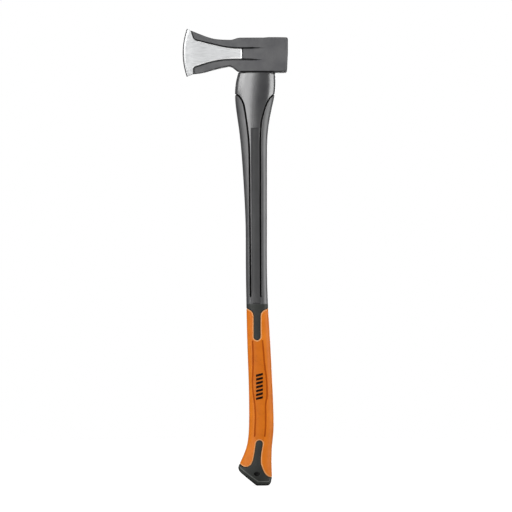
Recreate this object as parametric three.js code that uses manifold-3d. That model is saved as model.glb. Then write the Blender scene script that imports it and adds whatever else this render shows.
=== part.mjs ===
// Long-handled flat-head axe: a forged head bonded on a moulded composite handle.
//
// Units are millimetres. +Z runs up the handle to the head, -X faces the cutting edge,
// +X faces the hammer poll and Y is the thickness, with Y = 0 in the middle of the axe.
// The origin is the centre of the flat heel under the butt knob.

import * as THREE from "three";
import { mergeVertices } from "three/addons/utils/BufferGeometryUtils.js";
import Module from "manifold-3d";

const wasm = await Module();
wasm.setup();

// ---- Driving dimensions ----

const GAP = 0.3; // clearance between neighbouring pieces
const SIDES = 24; // corners round each handle section
const SQUARENESS = 2.5; // superellipse power of the handle's sections

// Forged head
const CHEEK = 24; // half thickness at the eye and poll
const HEAD_FOOT = 814; // height of the head's underside
const HEAD_TOP = 881.3; // height over the eye
const POLL_TOP = 882.1; // height over the poll, a little above the eye
const POLL_FACE = 50; // X of the hammer face
const POLL_CHAMFER = 2.5;
const NECK = -43; // X where the cheeks end and the blade starts
const EDGE_RADIUS = 142; // curve of the cutting edge, seen from the side
const EDGE_CENTRE = { x: -15.5, z: 852.3 };
const BEVEL = { width: 5.5, half: 2.4 }; // ground bevel behind the edge
const STRIP_END = -136; // X where the raised flanges stop behind the bit

// Eye and the tongue in it, both ovals on one vertical axis
const EYE_X = -8;
const EYE_FOOT = { length: 27.5, width: 12.8 }; // half sizes at the foot of the eye
const EYE_CROWN = { length: 29.5, width: 14.3 }; // half sizes at the top, wider to lock the resin
const TONGUE = { length: 25.5, width: 10.8, top: 873 };
const TONGUE_RIB = { pitch: 12, depth: 0.8 }; // keying rings that the resin grips
const RESIN_TOP = 878;
const GASKET_TOP = 820;

// Handle: height, front X, back X and half thickness of the outer surface
const HANDLE = [
  [0, -54, 18.8, 14.5],
  [12, -52, 18.8, 17],
  [28, -50, 18.5, 18.5],
  [42, -45.2, 18, 18],
  [58, -38, 18, 17],
  [73, -32.3, 18.5, 16.3],
  [105, -27.2, 21.5, 16.2],
  [137, -26.4, 21.9, 16.4],
  [207, -27.4, 19.1, 16],
  [286, -30.2, 15, 15.5],
  [352, -31.7, 11.2, 15.2],
  [444, -33, 9, 14.8],
  [515, -33.5, 9, 14.8],
  [578, -36.3, 9, 15],
  [641, -40.4, 9.1, 15.8],
  [704, -46.7, 11.6, 17.4],
  [744, -52.3, 18.7, 19],
  [775, -54.2, 24.8, 20.3],
  [795, -52.3, 25.9, 20.3],
  [815, -47.4, 24.9, 19.6],
];
const COLLAR_TOP = HEAD_FOOT - GAP;
const GRIP_TOP = 352; // where the sleeve starts below the shaft
const GRIP_WALL = 3; // sleeve thickness
const CORE_FOOT = 44; // lower end of the jacket, inside the knob

// Fibreglass rod: an oval bar that leans a little with the handle's curve
const ROD = { foot: 60, head: 872.5, footX: -8, headX: -12, length: 10, width: 8 };

// Moulded lines on each side of the shaft
const GROOVE = { radius: 1.3, foot: 373 };
const PANEL = { front: -22.6, back: -7.6, foot: 378, top: 704, depth: 0.6 };
const CREASE = { front: -19, back: -4, height: 358, radius: 1.0 };

// Cut-outs of the sleeve
const UPPER_TONGUE = { x: -10.6, half: 6.6, foot: 293, neck: 332 };
const LOWER_TONGUE = { x: -6.2, half: 6.7, top: 82.4 };

// Oval pocket moulded into each side of the knob, with a solid web left between the two
const POCKET = { x: -10.8, z: 23.1, length: 6, height: 4, web: 8 }; // half sizes

// Reach of the outlines and blocks that cut a piece, well past the piece itself
const PAST = { side: 40, front: -80, back: 60, foot: -20, top: 830 };
const OVERLAP = 12; // how far joined bodies run into each other

const LOOKS = {
  steel: { color: 0x5f6163, roughness: 0.55, metalness: 0.4 },
  resin: { color: 0x2c2a26, roughness: 0.3, metalness: 0 },
  rubber: { color: 0x151515, roughness: 0.8, metalness: 0 },
  glassfibre: { color: 0xcfc58f, roughness: 0.45, metalness: 0 },
  jacket: { color: 0x4a4b4c, roughness: 0.5, metalness: 0 },
  orange: { color: 0xe8802e, roughness: 0.6, metalness: 0 },
  cap: { color: 0x333633, roughness: 0.65, metalness: 0 },
};

// ---- Solids ----

// Outline points from pairs of coordinates.
function points(...pairs) {
  return pairs.map(([first, second]) => new THREE.Vector2(first, second));
}

// A closed three.js geometry as a manifold-3d solid.
function solid(geometry) {
  geometry.deleteAttribute("normal");
  geometry.deleteAttribute("uv");
  const merged = mergeVertices(geometry, 1e-4);
  const corners = merged.index.array;
  const triangles = [];
  for (let i = 0; i < corners.length; i += 3) {
    const [a, b, c] = corners.slice(i, i + 3);
    if (a !== b && b !== c && c !== a) {
      triangles.push(a, b, c);
    }
  }
  const mesh = new wasm.Mesh({
    numProp: 3,
    vertProperties: new Float32Array(merged.attributes.position.array),
    triVerts: new Uint32Array(triangles),
  });
  return new wasm.Manifold(mesh);
}

// A side outline, drawn in X and Z, made into a slab from -half to +half in Y.
function slab(shape, half, curveSegments = 6) {
  const options = { depth: 2 * half, bevelEnabled: false, curveSegments };
  const geometry = new THREE.ExtrudeGeometry(shape, options);
  geometry.translate(0, 0, -half);
  geometry.rotateX(Math.PI / 2);
  return solid(geometry);
}

// A plan outline, drawn in X and Y, made into a block from low to high in Z.
function block(shape, low, high, curveSegments = 6) {
  const options = { depth: high - low, bevelEnabled: false, curveSegments };
  const geometry = new THREE.ExtrudeGeometry(shape, options);
  geometry.translate(0, 0, low);
  return solid(geometry);
}

// A body of superellipse rings at the given heights. section(z) gives each ring's
// front and back X, its half thickness and its squareness.
function loft(heights, section) {
  const last = heights.length - 1;
  const geometry = new THREE.CylinderGeometry(1, 1, last, SIDES, last);
  const corners = geometry.attributes.position;
  for (let i = 0; i < corners.count; i += 1) {
    const reach = Math.hypot(corners.getX(i), corners.getZ(i));
    const angle = Math.atan2(corners.getZ(i), corners.getX(i));
    const z = heights[Math.round(corners.getY(i) + last / 2)];
    const { front, back, half, power } = section(z);
    const along = reach * squared(Math.cos(angle), power);
    const across = reach * squared(Math.sin(angle), power);
    corners.setXYZ(i, (front + back) / 2 + (along * (back - front)) / 2, -across * half, z);
  }
  return solid(geometry);
}

// A sine or cosine drawn out so that a circle becomes a superellipse.
function squared(value, power) {
  return Math.sign(value) * Math.abs(value) ** (2 / power);
}

// Heights from low to high, both included, at most step apart.
function levels(low, high, step) {
  const count = Math.ceil((high - low) / step);
  return Array.from({ length: count + 1 }, (_, i) => low + ((high - low) * i) / count);
}

// A thin round bar along a route, used to cut a moulded line.
function bar(route, radius, steps) {
  const section = new THREE.Shape();
  section.absarc(0, 0, radius, 0, 2 * Math.PI);
  const extrudePath = new THREE.CatmullRomCurve3(route);
  return solid(new THREE.ExtrudeGeometry(section, { steps, curveSegments: 3, extrudePath }));
}

// A solid as a named mesh with its own material.
function piece(name, body, look) {
  const mesh = body.getMesh();
  const geometry = new THREE.BufferGeometry();
  geometry.setAttribute("position", new THREE.BufferAttribute(mesh.vertProperties, 3));
  geometry.setIndex(new THREE.BufferAttribute(mesh.triVerts, 1));
  geometry.computeVertexNormals();
  const part = new THREE.Mesh(geometry, new THREE.MeshStandardMaterial(look));
  part.name = name;
  return part;
}

// ---- Forged head ----

// The head from the side: bit at the left, eye and poll at the right.
function headOutline() {
  const shape = new THREE.Shape();
  shape.moveTo(-162, 906.2);
  shape.lineTo(-140, 895.8);
  shape.splineThru(points([-120, 887.6], [-97, 880], [-64, 877.2]));
  shape.bezierCurveTo(-55, 877.2, -53, HEAD_TOP, NECK, HEAD_TOP);
  shape.lineTo(0, HEAD_TOP);
  shape.lineTo(14, POLL_TOP);
  shape.lineTo(POLL_FACE - 4, POLL_TOP);
  shape.absarc(POLL_FACE - 4, POLL_TOP - 4, 4, Math.PI / 2, 0, true);
  shape.lineTo(POLL_FACE, 852);
  shape.lineTo(POLL_FACE - 1.6, HEAD_FOOT + 4);
  shape.quadraticCurveTo(POLL_FACE - 1.7, HEAD_FOOT, POLL_FACE - 6, HEAD_FOOT);
  shape.lineTo(NECK, HEAD_FOOT);
  shape.bezierCurveTo(-54, HEAD_FOOT + 2, -56, 826, -67, 825.8);
  shape.splineThru(points([-96, 819], [-120, 812.6], [-138, 810.4]));
  shape.lineTo(-162, 799.5);
  return shape;
}

// Plan outline, the same on both sides, through the given half thicknesses.
function plan(front, curve, back) {
  const shape = new THREE.Shape();
  shape.moveTo(front[0], -front[1]);
  shape.splineThru(points(...curve.map(([x, half]) => [x, -half])));
  back.forEach(([x, half]) => shape.lineTo(x, -half));
  [...back].reverse().forEach(([x, half]) => shape.lineTo(x, half));
  const [turnX, turnHalf] = curve[curve.length - 1];
  shape.lineTo(turnX, turnHalf);
  const homeward = [...curve.slice(0, -1)].reverse();
  shape.splineThru(points(...homeward, front));
  return shape;
}

// Side view of the low area between the flanges: it opens out over the whole bit.
function webOutline() {
  const shape = new THREE.Shape();
  shape.moveTo(-170, 915);
  shape.lineTo(STRIP_END - 4, 905);
  shape.lineTo(STRIP_END, 884);
  shape.quadraticCurveTo(STRIP_END + 1, 878.8, STRIP_END + 6, 877.2);
  shape.splineThru(points([-102, 870.3], [-67, 862.8], [NECK, 861]));
  shape.lineTo(2, 861);
  shape.lineTo(2, 837);
  shape.lineTo(NECK, 838.8);
  shape.splineThru(points([-67, 838.8], [-102, 834], [-130, 825.6]));
  shape.quadraticCurveTo(STRIP_END, 823.4, STRIP_END, 819);
  shape.lineTo(STRIP_END, 800);
  shape.lineTo(-170, 790);
  return shape;
}

// Disc whose rim is the cutting edge and whose two cones are the ground bevels.
function edgeDisc() {
  const blunt = 0.12; // half thickness left at the very edge
  const depth = (EDGE_RADIUS * BEVEL.half) / BEVEL.width / 2;
  const profile = [
    new THREE.Vector2(0, -depth),
    new THREE.Vector2(EDGE_RADIUS / 2, -depth),
    new THREE.Vector2(EDGE_RADIUS, -blunt),
    new THREE.Vector2(EDGE_RADIUS, blunt),
    new THREE.Vector2(EDGE_RADIUS / 2, depth),
    new THREE.Vector2(0, depth),
  ];
  const geometry = new THREE.LatheGeometry(profile, 144);
  geometry.translate(EDGE_CENTRE.x, 0, EDGE_CENTRE.z);
  return solid(geometry);
}

// An oval column on the eye's axis whose half sizes come from size(z).
function eyeColumn(heights, size) {
  return loft(heights, (z) => {
    const { length, width } = size(z);
    return { front: EYE_X - length, back: EYE_X + length, half: width, power: 2.2 };
  });
}

// Half sizes of the eye at a height, made smaller by inset.
function eyeSize(z, inset) {
  const t = (z - HEAD_FOOT) / (HEAD_TOP - HEAD_FOOT);
  return {
    length: THREE.MathUtils.lerp(EYE_FOOT.length, EYE_CROWN.length, t) - inset,
    width: THREE.MathUtils.lerp(EYE_FOOT.width, EYE_CROWN.width, t) - inset,
  };
}

function axeHead() {
  const cheeks = plan(
    [-170, 4.2],
    [[STRIP_END, 7], [-100, 12.2], [-60, 18.6], [-32, 22.8], [-14, CHEEK]],
    [[POLL_FACE - POLL_CHAMFER, CHEEK], [POLL_FACE + 0.2, CHEEK - POLL_CHAMFER]],
  );
  const web = plan(
    [-170, 1.4],
    [[-152, 2.3], [STRIP_END, 4.4], [-90, 8.8], [NECK, 14.6], [-20, 19], [4, CHEEK + 1]],
    [[POLL_FACE + 20, CHEEK + 20]],
  );
  const forged = slab(headOutline(), CHEEK + 5, 5).intersect(block(cheeks, 780, 920));
  const pockets = slab(webOutline(), CHEEK + 5, 5).subtract(block(web, 780, 930));
  const eye = eyeColumn([HEAD_FOOT - 4, POLL_TOP + 4], (z) => eyeSize(z, 0));
  return forged.subtract(pockets).intersect(edgeDisc()).subtract(eye);
}

// ---- Bond between head and handle ----

// Tongue of the handle in the eye, with shallow keying rings, grown outwards by grow.
function tongue(low, high, grow) {
  return eyeColumn(levels(low, high, TONGUE_RIB.pitch / 4), (z) => {
    const wave = 0.5 + 0.5 * Math.cos((2 * Math.PI * (z - TONGUE.top)) / TONGUE_RIB.pitch);
    const inset = TONGUE_RIB.depth * wave - grow;
    return { length: TONGUE.length - inset, width: TONGUE.width - inset };
  });
}

// Cured epoxy: it fills the eye round the tongue and covers the tongue's end.
function eyeResin() {
  const filling = eyeColumn([GASKET_TOP + GAP, RESIN_TOP], (z) => eyeSize(z, GAP));
  return filling.subtract(tongue(GASKET_TOP - 13, TONGUE.top + GAP, GAP));
}

// Rubber ring that closes the foot of the eye.
function eyeGasket() {
  const ring = eyeColumn([HEAD_FOOT, GASKET_TOP], (z) => eyeSize(z, GAP));
  const opening = eyeColumn([HEAD_FOOT - 5, GASKET_TOP + 5], () => ({
    length: TONGUE.length + GAP,
    width: TONGUE.width + GAP,
  }));
  return ring.subtract(opening);
}

// ---- Handle ----

const stations = new THREE.CubicInterpolant(
  HANDLE.map((row) => row[0]),
  HANDLE.flatMap((row) => row.slice(1)),
  3,
);

// Section of the handle at a height, made smaller all round by inset.
function handleSection(z, inset) {
  const [front, back, half] = stations.evaluate(z);
  return { front: front + inset, back: back - inset, half: half - inset, power: SQUARENESS };
}

// The handle's outer form between two heights, made smaller by inset.
function handleForm(low, high, step, inset) {
  return loft(levels(low, high, step), (z) => handleSection(z, inset));
}

// Point on the handle's side at a given X and height. side is -1 or 1 in Y.
function onSide(x, z, side) {
  const { front, back, half, power } = handleSection(z, 0);
  const across = Math.abs((2 * x - front - back) / (back - front));
  const y = half * (1 - Math.min(across, 1) ** power) ** (1 / power);
  return new THREE.Vector3(x, side * y, z);
}

// Fibreglass rod, leaning from its foot to its head, grown outwards by grow.
function rod(low, high, grow) {
  return loft([low, high], (z) => {
    const t = (z - ROD.foot) / (ROD.head - ROD.foot);
    const x = THREE.MathUtils.lerp(ROD.footX, ROD.headX, t);
    return { front: x - ROD.length - grow, back: x + ROD.length + grow, half: ROD.width + grow, power: 2 };
  });
}

// Draws the edge between shaft and sleeve from back to front, round the upper tongue.
// away moves it off the tongue, into the sleeve.
function drawUpperEdge(shape, away) {
  const { x, half, foot, neck } = UPPER_TONGUE;
  const side = half + away;
  const lift = GRIP_TOP - away;
  shape.lineTo(PAST.back, lift + 8);
  shape.lineTo(x + 22 + away, lift + 2.5);
  shape.bezierCurveTo(x + 13 + away, lift - 2, x + side, neck + 12, x + side, neck);
  shape.lineTo(x + side, foot);
  shape.absarc(x, foot, side, 0, -Math.PI, true);
  shape.lineTo(x - side, neck);
  shape.bezierCurveTo(x - side, neck + 12, x - 13 - away, lift - 2, x - 22 - away, lift + 2.5);
  shape.lineTo(PAST.front, lift + 8);
}

// Draws the edge between knob and sleeve from front to back, round the lower tongue.
function drawLowerEdge(shape, away) {
  const { x, half, top } = LOWER_TONGUE;
  const side = half + away;
  shape.lineTo(PAST.front, 56 + away);
  shape.lineTo(-43, 41 + away);
  shape.bezierCurveTo(-35, 33 + away, -22 - away, 36 + away, -18.5 - away, 50 + away);
  shape.bezierCurveTo(-16 - away, 60, -14.5 - away, 72, x - side, top);
  shape.absarc(x, top, side, Math.PI, 0, true);
  shape.bezierCurveTo(-1 + away, 72, -4.5 + away, 60, -3.4 + away, 45);
  shape.bezierCurveTo(-2 + away, 36, 5 + away, 17 + away, 17, 16 + away);
  shape.lineTo(PAST.back, 13 + away);
}

// Side view of everything above the sleeve.
function shaftRegion() {
  const shape = new THREE.Shape();
  shape.moveTo(PAST.front, PAST.top);
  shape.lineTo(PAST.back, PAST.top);
  drawUpperEdge(shape, 0);
  return shape;
}

// Side view of the sleeve.
function sleeveRegion() {
  const shape = new THREE.Shape();
  shape.moveTo(PAST.back, 200);
  drawUpperEdge(shape, GAP);
  drawLowerEdge(shape, GAP);
  return shape;
}

// Side view of everything below the sleeve.
function capRegion() {
  const shape = new THREE.Shape();
  shape.moveTo(PAST.back, PAST.foot);
  shape.lineTo(PAST.front, PAST.foot);
  drawLowerEdge(shape, 0);
  return shape;
}

// Side view of the knob's underside: slanted sole, flat heel and rounded corners.
function soleRegion() {
  const shape = new THREE.Shape();
  shape.moveTo(-49, 120);
  shape.lineTo(-49, 34);
  shape.quadraticCurveTo(-49, 28.5, -44.5, 25.3);
  shape.lineTo(-15.5, 2.9);
  shape.quadraticCurveTo(-12.5, 0, -9, 0);
  shape.lineTo(11, 0);
  shape.quadraticCurveTo(18.6, 1, 18.6, 9);
  shape.lineTo(18.6, 50);
  shape.lineTo(PAST.back, 60);
  shape.lineTo(PAST.back, 120);
  return shape;
}

// The two long moulded lines on one side, from the collar's edges to above the grip.
function grooves(side) {
  const front = points([-50.4, 769], [-42.2, 761.4], [-34.7, 737], [-27.2, 677], [-25, 620], [-24.3, 520]);
  const back = points([21, 769.5], [15, 763.7], [6.1, 746], [-1.5, 719], [-4.1, 660], [-3.6, 520]);
  return [front, back].map((line) => {
    const foot = new THREE.Vector2(line[line.length - 1].x, GROOVE.foot);
    const route = new THREE.SplineCurve([...line, foot]).getSpacedPoints(24);
    return bar(route.map((point) => onSide(point.x, point.y, side)), GROOVE.radius, 24);
  });
}

// The short line across one side between the shaft's panel and the upper tongue.
function crease(side) {
  const route = levels(CREASE.front, CREASE.back, 3).map((x) => onSide(x, CREASE.height, side));
  return bar(route, CREASE.radius, 6);
}

// The shallow flat panel between the long lines, sunk into both sides of the shaft.
function panelRecess() {
  const shape = new THREE.Shape();
  shape.moveTo(PANEL.front, PANEL.foot);
  shape.lineTo(PANEL.back, PANEL.foot);
  shape.lineTo(PANEL.back, PANEL.top);
  shape.lineTo(PANEL.front, PANEL.top);
  const inner = handleForm(PANEL.foot - OVERLAP, PANEL.top + OVERLAP, 14, PANEL.depth);
  return slab(shape, CHEEK).subtract(inner);
}

function handleJacket() {
  const form = handleForm(UPPER_TONGUE.foot - OVERLAP, COLLAR_TOP, 20, 0);
  const shaft = form.intersect(slab(shaftRegion(), PAST.side));
  const gripCore = handleForm(CORE_FOOT, GRIP_TOP + OVERLAP / 2, 20, GRIP_WALL + GAP);
  const whole = shaft.add(gripCore).add(tongue(COLLAR_TOP - OVERLAP, TONGUE.top, 0));
  const lines = [-1, 1].flatMap((side) => [...grooves(side), crease(side)]);
  const lined = lines.reduce((body, line) => body.subtract(line), whole);
  const bore = rod(CORE_FOOT - OVERLAP, TONGUE.top + OVERLAP, GAP);
  return lined.subtract(panelRecess()).subtract(bore);
}

function gripSleeve() {
  const form = handleForm(4, GRIP_TOP + OVERLAP, 16, 0);
  const outer = form.intersect(slab(sleeveRegion(), PAST.side));
  return outer.subtract(handleForm(0, GRIP_TOP + OVERLAP + 4, 16, GRIP_WALL));
}

// Oval pockets from both sides of the knob down to the web between them.
function sidePockets() {
  const shape = new THREE.Shape();
  shape.absellipse(POCKET.x, POCKET.z, POCKET.length, POCKET.height, 0, 2 * Math.PI);
  const web = new THREE.Shape();
  web.absellipse(POCKET.x, POCKET.z, 2 * POCKET.length, 2 * POCKET.height, 0, 2 * Math.PI);
  return slab(shape, PAST.side, 20).subtract(slab(web, POCKET.web, 20));
}

function buttCap() {
  const tip = LOWER_TONGUE.top + OVERLAP;
  const shown = handleForm(-2, tip, 6, 0).intersect(slab(capRegion(), PAST.side));
  const plug = handleForm(4, CORE_FOOT - GAP, 6, GRIP_WALL + GAP);
  const jacketSpace = handleForm(CORE_FOOT - GAP, tip + OVERLAP, 6, GRIP_WALL);
  const knob = shown.add(plug).intersect(slab(soleRegion(), PAST.side));
  return knob.subtract(jacketSpace).subtract(sidePockets());
}

const axe = new THREE.Group();
axe.add(
  piece("axe_head", axeHead(), LOOKS.steel),
  piece("eye_resin", eyeResin(), LOOKS.resin),
  piece("eye_gasket", eyeGasket(), LOOKS.rubber),
  piece("core_rod", rod(ROD.foot, ROD.head, 0), LOOKS.glassfibre),
  piece("handle_jacket", handleJacket(), LOOKS.jacket),
  piece("grip_sleeve", gripSleeve(), LOOKS.orange),
  piece("butt_cap", buttCap(), LOOKS.cap),
);

export default axe;
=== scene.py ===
"""A long-handled flat-head axe: the looks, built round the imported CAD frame.

Shapes are worked out in millimetres in the frame's own axes: +Z up the handle, -X to the
cutting edge, Y across the thickness. They become metres when a mesh is made.
"""

import math

import bmesh
import bpy
import numpy as np
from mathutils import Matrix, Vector
from mathutils.geometry import delaunay_2d_cdt
from mathutils.kdtree import KDTree


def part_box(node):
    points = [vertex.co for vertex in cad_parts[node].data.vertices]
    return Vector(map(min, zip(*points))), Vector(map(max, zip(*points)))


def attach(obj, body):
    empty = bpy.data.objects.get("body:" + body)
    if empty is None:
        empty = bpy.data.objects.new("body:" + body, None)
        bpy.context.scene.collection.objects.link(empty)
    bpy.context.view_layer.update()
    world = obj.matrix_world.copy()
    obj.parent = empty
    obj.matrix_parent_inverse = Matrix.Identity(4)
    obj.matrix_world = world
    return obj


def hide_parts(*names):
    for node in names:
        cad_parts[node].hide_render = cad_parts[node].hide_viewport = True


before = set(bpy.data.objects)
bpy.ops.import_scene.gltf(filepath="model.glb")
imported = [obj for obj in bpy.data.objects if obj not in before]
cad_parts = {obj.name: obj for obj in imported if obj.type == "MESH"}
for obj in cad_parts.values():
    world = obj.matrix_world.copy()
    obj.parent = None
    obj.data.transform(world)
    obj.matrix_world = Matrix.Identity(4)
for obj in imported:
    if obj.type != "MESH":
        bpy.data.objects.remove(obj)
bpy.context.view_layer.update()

MM = 0.001
GAP = 0.3  # room between two pieces
HALVINGS = 40
SPLINE_STEPS = 10  # points from one knot of a curve to the next
SEAM_NEAR = 0.004  # how far from the middle plane a spot still counts as on it
JACKET_STEP, SLEEVE_STEP, KNOB_STEP, HEAD_STEP = 1.9, 1.35, 1.3, 1.15  # mesh spacing


def cad_box(node):
    """The lowest and highest corners of a CAD node, in mm."""
    low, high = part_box(node)
    return np.array(low) / MM, np.array(high) / MM


HEAD_HIGH = cad_box("axe_head")[1]
JACKET_LOW, JACKET_HIGH = cad_box("handle_jacket")

# ---- Sizes that the CAD part is driven by ----

CHEEK = HEAD_HIGH[1]
POLL_FACE = HEAD_HIGH[0]
HEAD_FOOT = 814.0
HEAD_TOP = 881.3
POLL_TOP = 882.1
NECK = -43.0
EDGE_RADIUS = 141.96
EDGE_CENTRE = np.array([-15.5, 852.3])
BEVEL_WIDTH = 5.5
BEVEL_HALF = 2.4

EYE_X = -8.0
EYE_FOOT = (27.5, 12.8)
EYE_CROWN = (29.5, 14.3)
TONGUE = (25.5, 10.8)
TONGUE_TOP = JACKET_HIGH[2]
RESIN_TOP = 878.0
GASKET_TOP = 820.0

COLLAR_TOP = HEAD_FOOT - GAP
GRIP_TOP = 352.0
GRIP_WALL = 3.0
CORE_FOOT = JACKET_LOW[2]

# Handle: height, front X, back X, half thickness and squareness of the outer surface
HANDLE = np.array([
    [0, -54, 18.8, 14.5, 2.5],
    [12, -52, 18.8, 17, 2.5],
    [28, -50, 18.5, 18.5, 2.5],
    [42, -45.2, 18, 18, 2.5],
    [58, -38, 18, 17, 2.5],
    [73, -32.3, 18.5, 16.3, 2.5],
    [105, -27.2, 21.5, 16.2, 2.5],
    [137, -26.4, 21.9, 16.4, 2.5],
    [207, -27.4, 19.1, 16, 2.55],
    [286, -30.2, 15, 15.5, 2.6],
    [352, -31.7, 11.2, 15.2, 2.7],
    [444, -33, 9, 14.8, 2.8],
    [515, -33.5, 9, 14.8, 2.8],
    [578, -36.3, 9, 15, 2.8],
    [641, -40.4, 9.1, 15.8, 2.7],
    [704, -46.7, 11.6, 17.4, 2.5],
    [744, -52.3, 18.7, 19, 2.3],
    [775, -54.2, 24.8, 20.3, 2.25],
    [795, -52.3, 25.9, 20.3, 2.25],
    [815, -47.4, 24.9, 19.6, 2.25],
])

# ---- Curves in the plane ----


def natural_spline(knots, values):
    """A smooth curve through rows of values at the knots."""
    count = len(knots)
    gaps = np.diff(knots)
    matrix = np.eye(count)
    right = np.zeros_like(values)
    for i in range(1, count - 1):
        matrix[i, i - 1:i + 2] = gaps[i - 1], 2 * (gaps[i - 1] + gaps[i]), gaps[i]
        rise = (values[i + 1] - values[i]) / gaps[i]
        right[i] = 6 * (rise - (values[i] - values[i - 1]) / gaps[i - 1])
    bend = np.linalg.solve(matrix, right)

    def at(where):
        where = np.asarray(where, float)
        i = np.clip(np.searchsorted(knots, where, side="right") - 1, 0, count - 2)
        gap = gaps[i][..., None]
        left = (where - knots[i])[..., None]
        rest = gap - left
        cubic = (bend[i] * rest ** 3 + bend[i + 1] * left ** 3) / (6 * gap)
        low = (values[i] / gap - bend[i] * gap / 6) * rest
        high = (values[i + 1] / gap - bend[i + 1] * gap / 6) * left
        return cubic + low + high

    return at


def monotone(pairs):
    """A smooth curve through pairs of numbers that never overshoots them."""
    x, y = np.array(pairs, float).T
    gaps = np.diff(x)
    rises = np.diff(y) / gaps
    slopes = np.zeros(len(x))
    slopes[0], slopes[-1] = rises[0], rises[-1]
    for i in range(1, len(x) - 1):
        if rises[i - 1] * rises[i] > 0:
            w0 = 2 * gaps[i] + gaps[i - 1]
            w1 = gaps[i] + 2 * gaps[i - 1]
            slopes[i] = (w0 + w1) / (w0 / rises[i - 1] + w1 / rises[i])

    def at(where):
        where = np.clip(where, x[0], x[-1])
        i = np.clip(np.searchsorted(x, where, side="right") - 1, 0, len(x) - 2)
        t = (where - x[i]) / gaps[i]
        value = y[i] * (1 + 2 * t) * (1 - t) ** 2 + y[i + 1] * t * t * (3 - 2 * t)
        tilt = slopes[i] * t * (1 - t) ** 2 - slopes[i + 1] * t * t * (1 - t)
        return value + tilt * gaps[i]

    return at


def bezier(start, first, second, end, count=24):
    """Points of a cubic curve, without its start."""
    t = np.linspace(0, 1, count + 1)[1:, None]
    start, first, second, end = (np.array(p, float) for p in (start, first, second, end))
    return (
        start * (1 - t) ** 3 + 3 * first * t * (1 - t) ** 2
        + 3 * second * t * t * (1 - t) + end * t ** 3
    )


def through(knots):
    """Points of a smooth curve through knots, without the first."""
    knots = np.array(knots, float)
    reach = np.concatenate([[0], np.cumsum(np.linalg.norm(np.diff(knots, axis=0), axis=1))])
    curve = natural_spline(reach, knots)
    return curve(np.linspace(0, reach[-1], SPLINE_STEPS * (len(knots) - 1) + 1))[1:]


def arc(centre, radius, start, end, count=16):
    """Points of an arc between two angles in degrees, both ends included."""
    t = np.radians(np.linspace(start, end, count + 1))
    return np.array(centre) + radius * np.column_stack([np.cos(t), np.sin(t)])


def join(*parts):
    """One run of points from several, where a bare pair is a corner."""
    rows = [np.atleast_2d(np.array(part, float)) for part in parts]
    return np.concatenate(rows)


def resample(line, step):
    """The same line with points at most step apart, its ends kept."""
    reach = np.concatenate([[0], np.cumsum(np.linalg.norm(np.diff(line, axis=0), axis=1))])
    count = max(1, math.ceil(reach[-1] / step))
    where = np.linspace(0, reach[-1], count + 1)
    return np.column_stack([np.interp(where, reach, line[:, k]) for k in range(2)])


def offset(line, distance, closed=False):
    """The line moved sideways, to its left where distance is positive."""
    if closed:
        ahead, behind = np.roll(line, -1, axis=0), np.roll(line, 1, axis=0)
    else:
        ahead = np.concatenate([line[1:], line[-1:]])
        behind = np.concatenate([line[:1], line[:-1]])
    run = ahead - behind
    run /= np.maximum(np.linalg.norm(run, axis=1, keepdims=True), 1e-9)
    return line + distance * np.column_stack([-run[:, 1], run[:, 0]])


def distance_to(where, line, closed=False):
    """The distance from each point to the nearest stretch of a line."""
    ends = np.roll(line, -1, axis=0) if closed else line[1:]
    starts = line if closed else line[:-1]
    best = np.full(len(where), 1e9)
    for a, b in zip(starts, ends):
        run = b - a
        length = max(run @ run, 1e-12)
        t = np.clip(((where - a) @ run) / length, 0, 1)
        near = where - a - t[:, None] * run
        best = np.minimum(best, (near ** 2).sum(axis=1))
    return np.sqrt(best)


def inside(where, loops):
    """True for each point that an odd number of closed loops holds."""
    odd = np.zeros(len(where), bool)
    x, y = where[:, 0], where[:, 1]
    for loop in loops:
        for (x0, y0), (x1, y1) in zip(loop, np.roll(loop, -1, axis=0)):
            if y0 == y1:
                continue
            crosses = (y0 > y) != (y1 > y)
            odd ^= crosses & (x < x0 + (y - y0) * (x1 - x0) / (y1 - y0))
    return odd


def crossing(outer, inner, holds):
    """Where a step from outer to inner enters what holds, found by halving."""
    outer, inner = np.array(outer, float), np.array(inner, float)
    for _ in range(HALVINGS):
        middle = (outer + inner) / 2
        if holds(middle):
            inner = middle
        else:
            outer = middle
    return inner


def squared_oval(turn, power):
    """Shares of the half length and half width of an oval at angles round it."""
    cos, sin = np.cos(turn), np.sin(turn)
    return np.sign(cos) * np.abs(cos) ** (2 / power), np.sign(sin) * np.abs(sin) ** (2 / power)


# ---- The handle's surface ----

section = natural_spline(HANDLE[:, 0], HANDLE[:, 1:])
ROWS = np.arange(-4.0, 818.0, 1.0)
ROUND = 480
TURN = np.linspace(0, math.pi, 1441)


def section_table():
    """X, Y and half perimeter of the handle's +Y side at each whole height."""
    xs, ys, lengths = [], [], []
    for front, back, half, power in section(ROWS):
        along, across = squared_oval(TURN, power)
        x = (front + back) / 2 - along * (back - front) / 2
        y = across * half
        reach = np.concatenate([[0], np.cumsum(np.hypot(np.diff(x), np.diff(y)))])
        even = np.linspace(0, reach[-1], ROUND + 1)
        xs.append(np.interp(even, reach, x))
        ys.append(np.interp(even, reach, y))
        lengths.append(reach[-1])
    return np.array(xs), np.array(ys), np.array(lengths)


TABLE_X, TABLE_Y, TABLE_LENGTH = section_table()


def half_round(z):
    """Half of the distance round the +Y side at a height."""
    return np.interp(z, ROWS, TABLE_LENGTH) / 2


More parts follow.
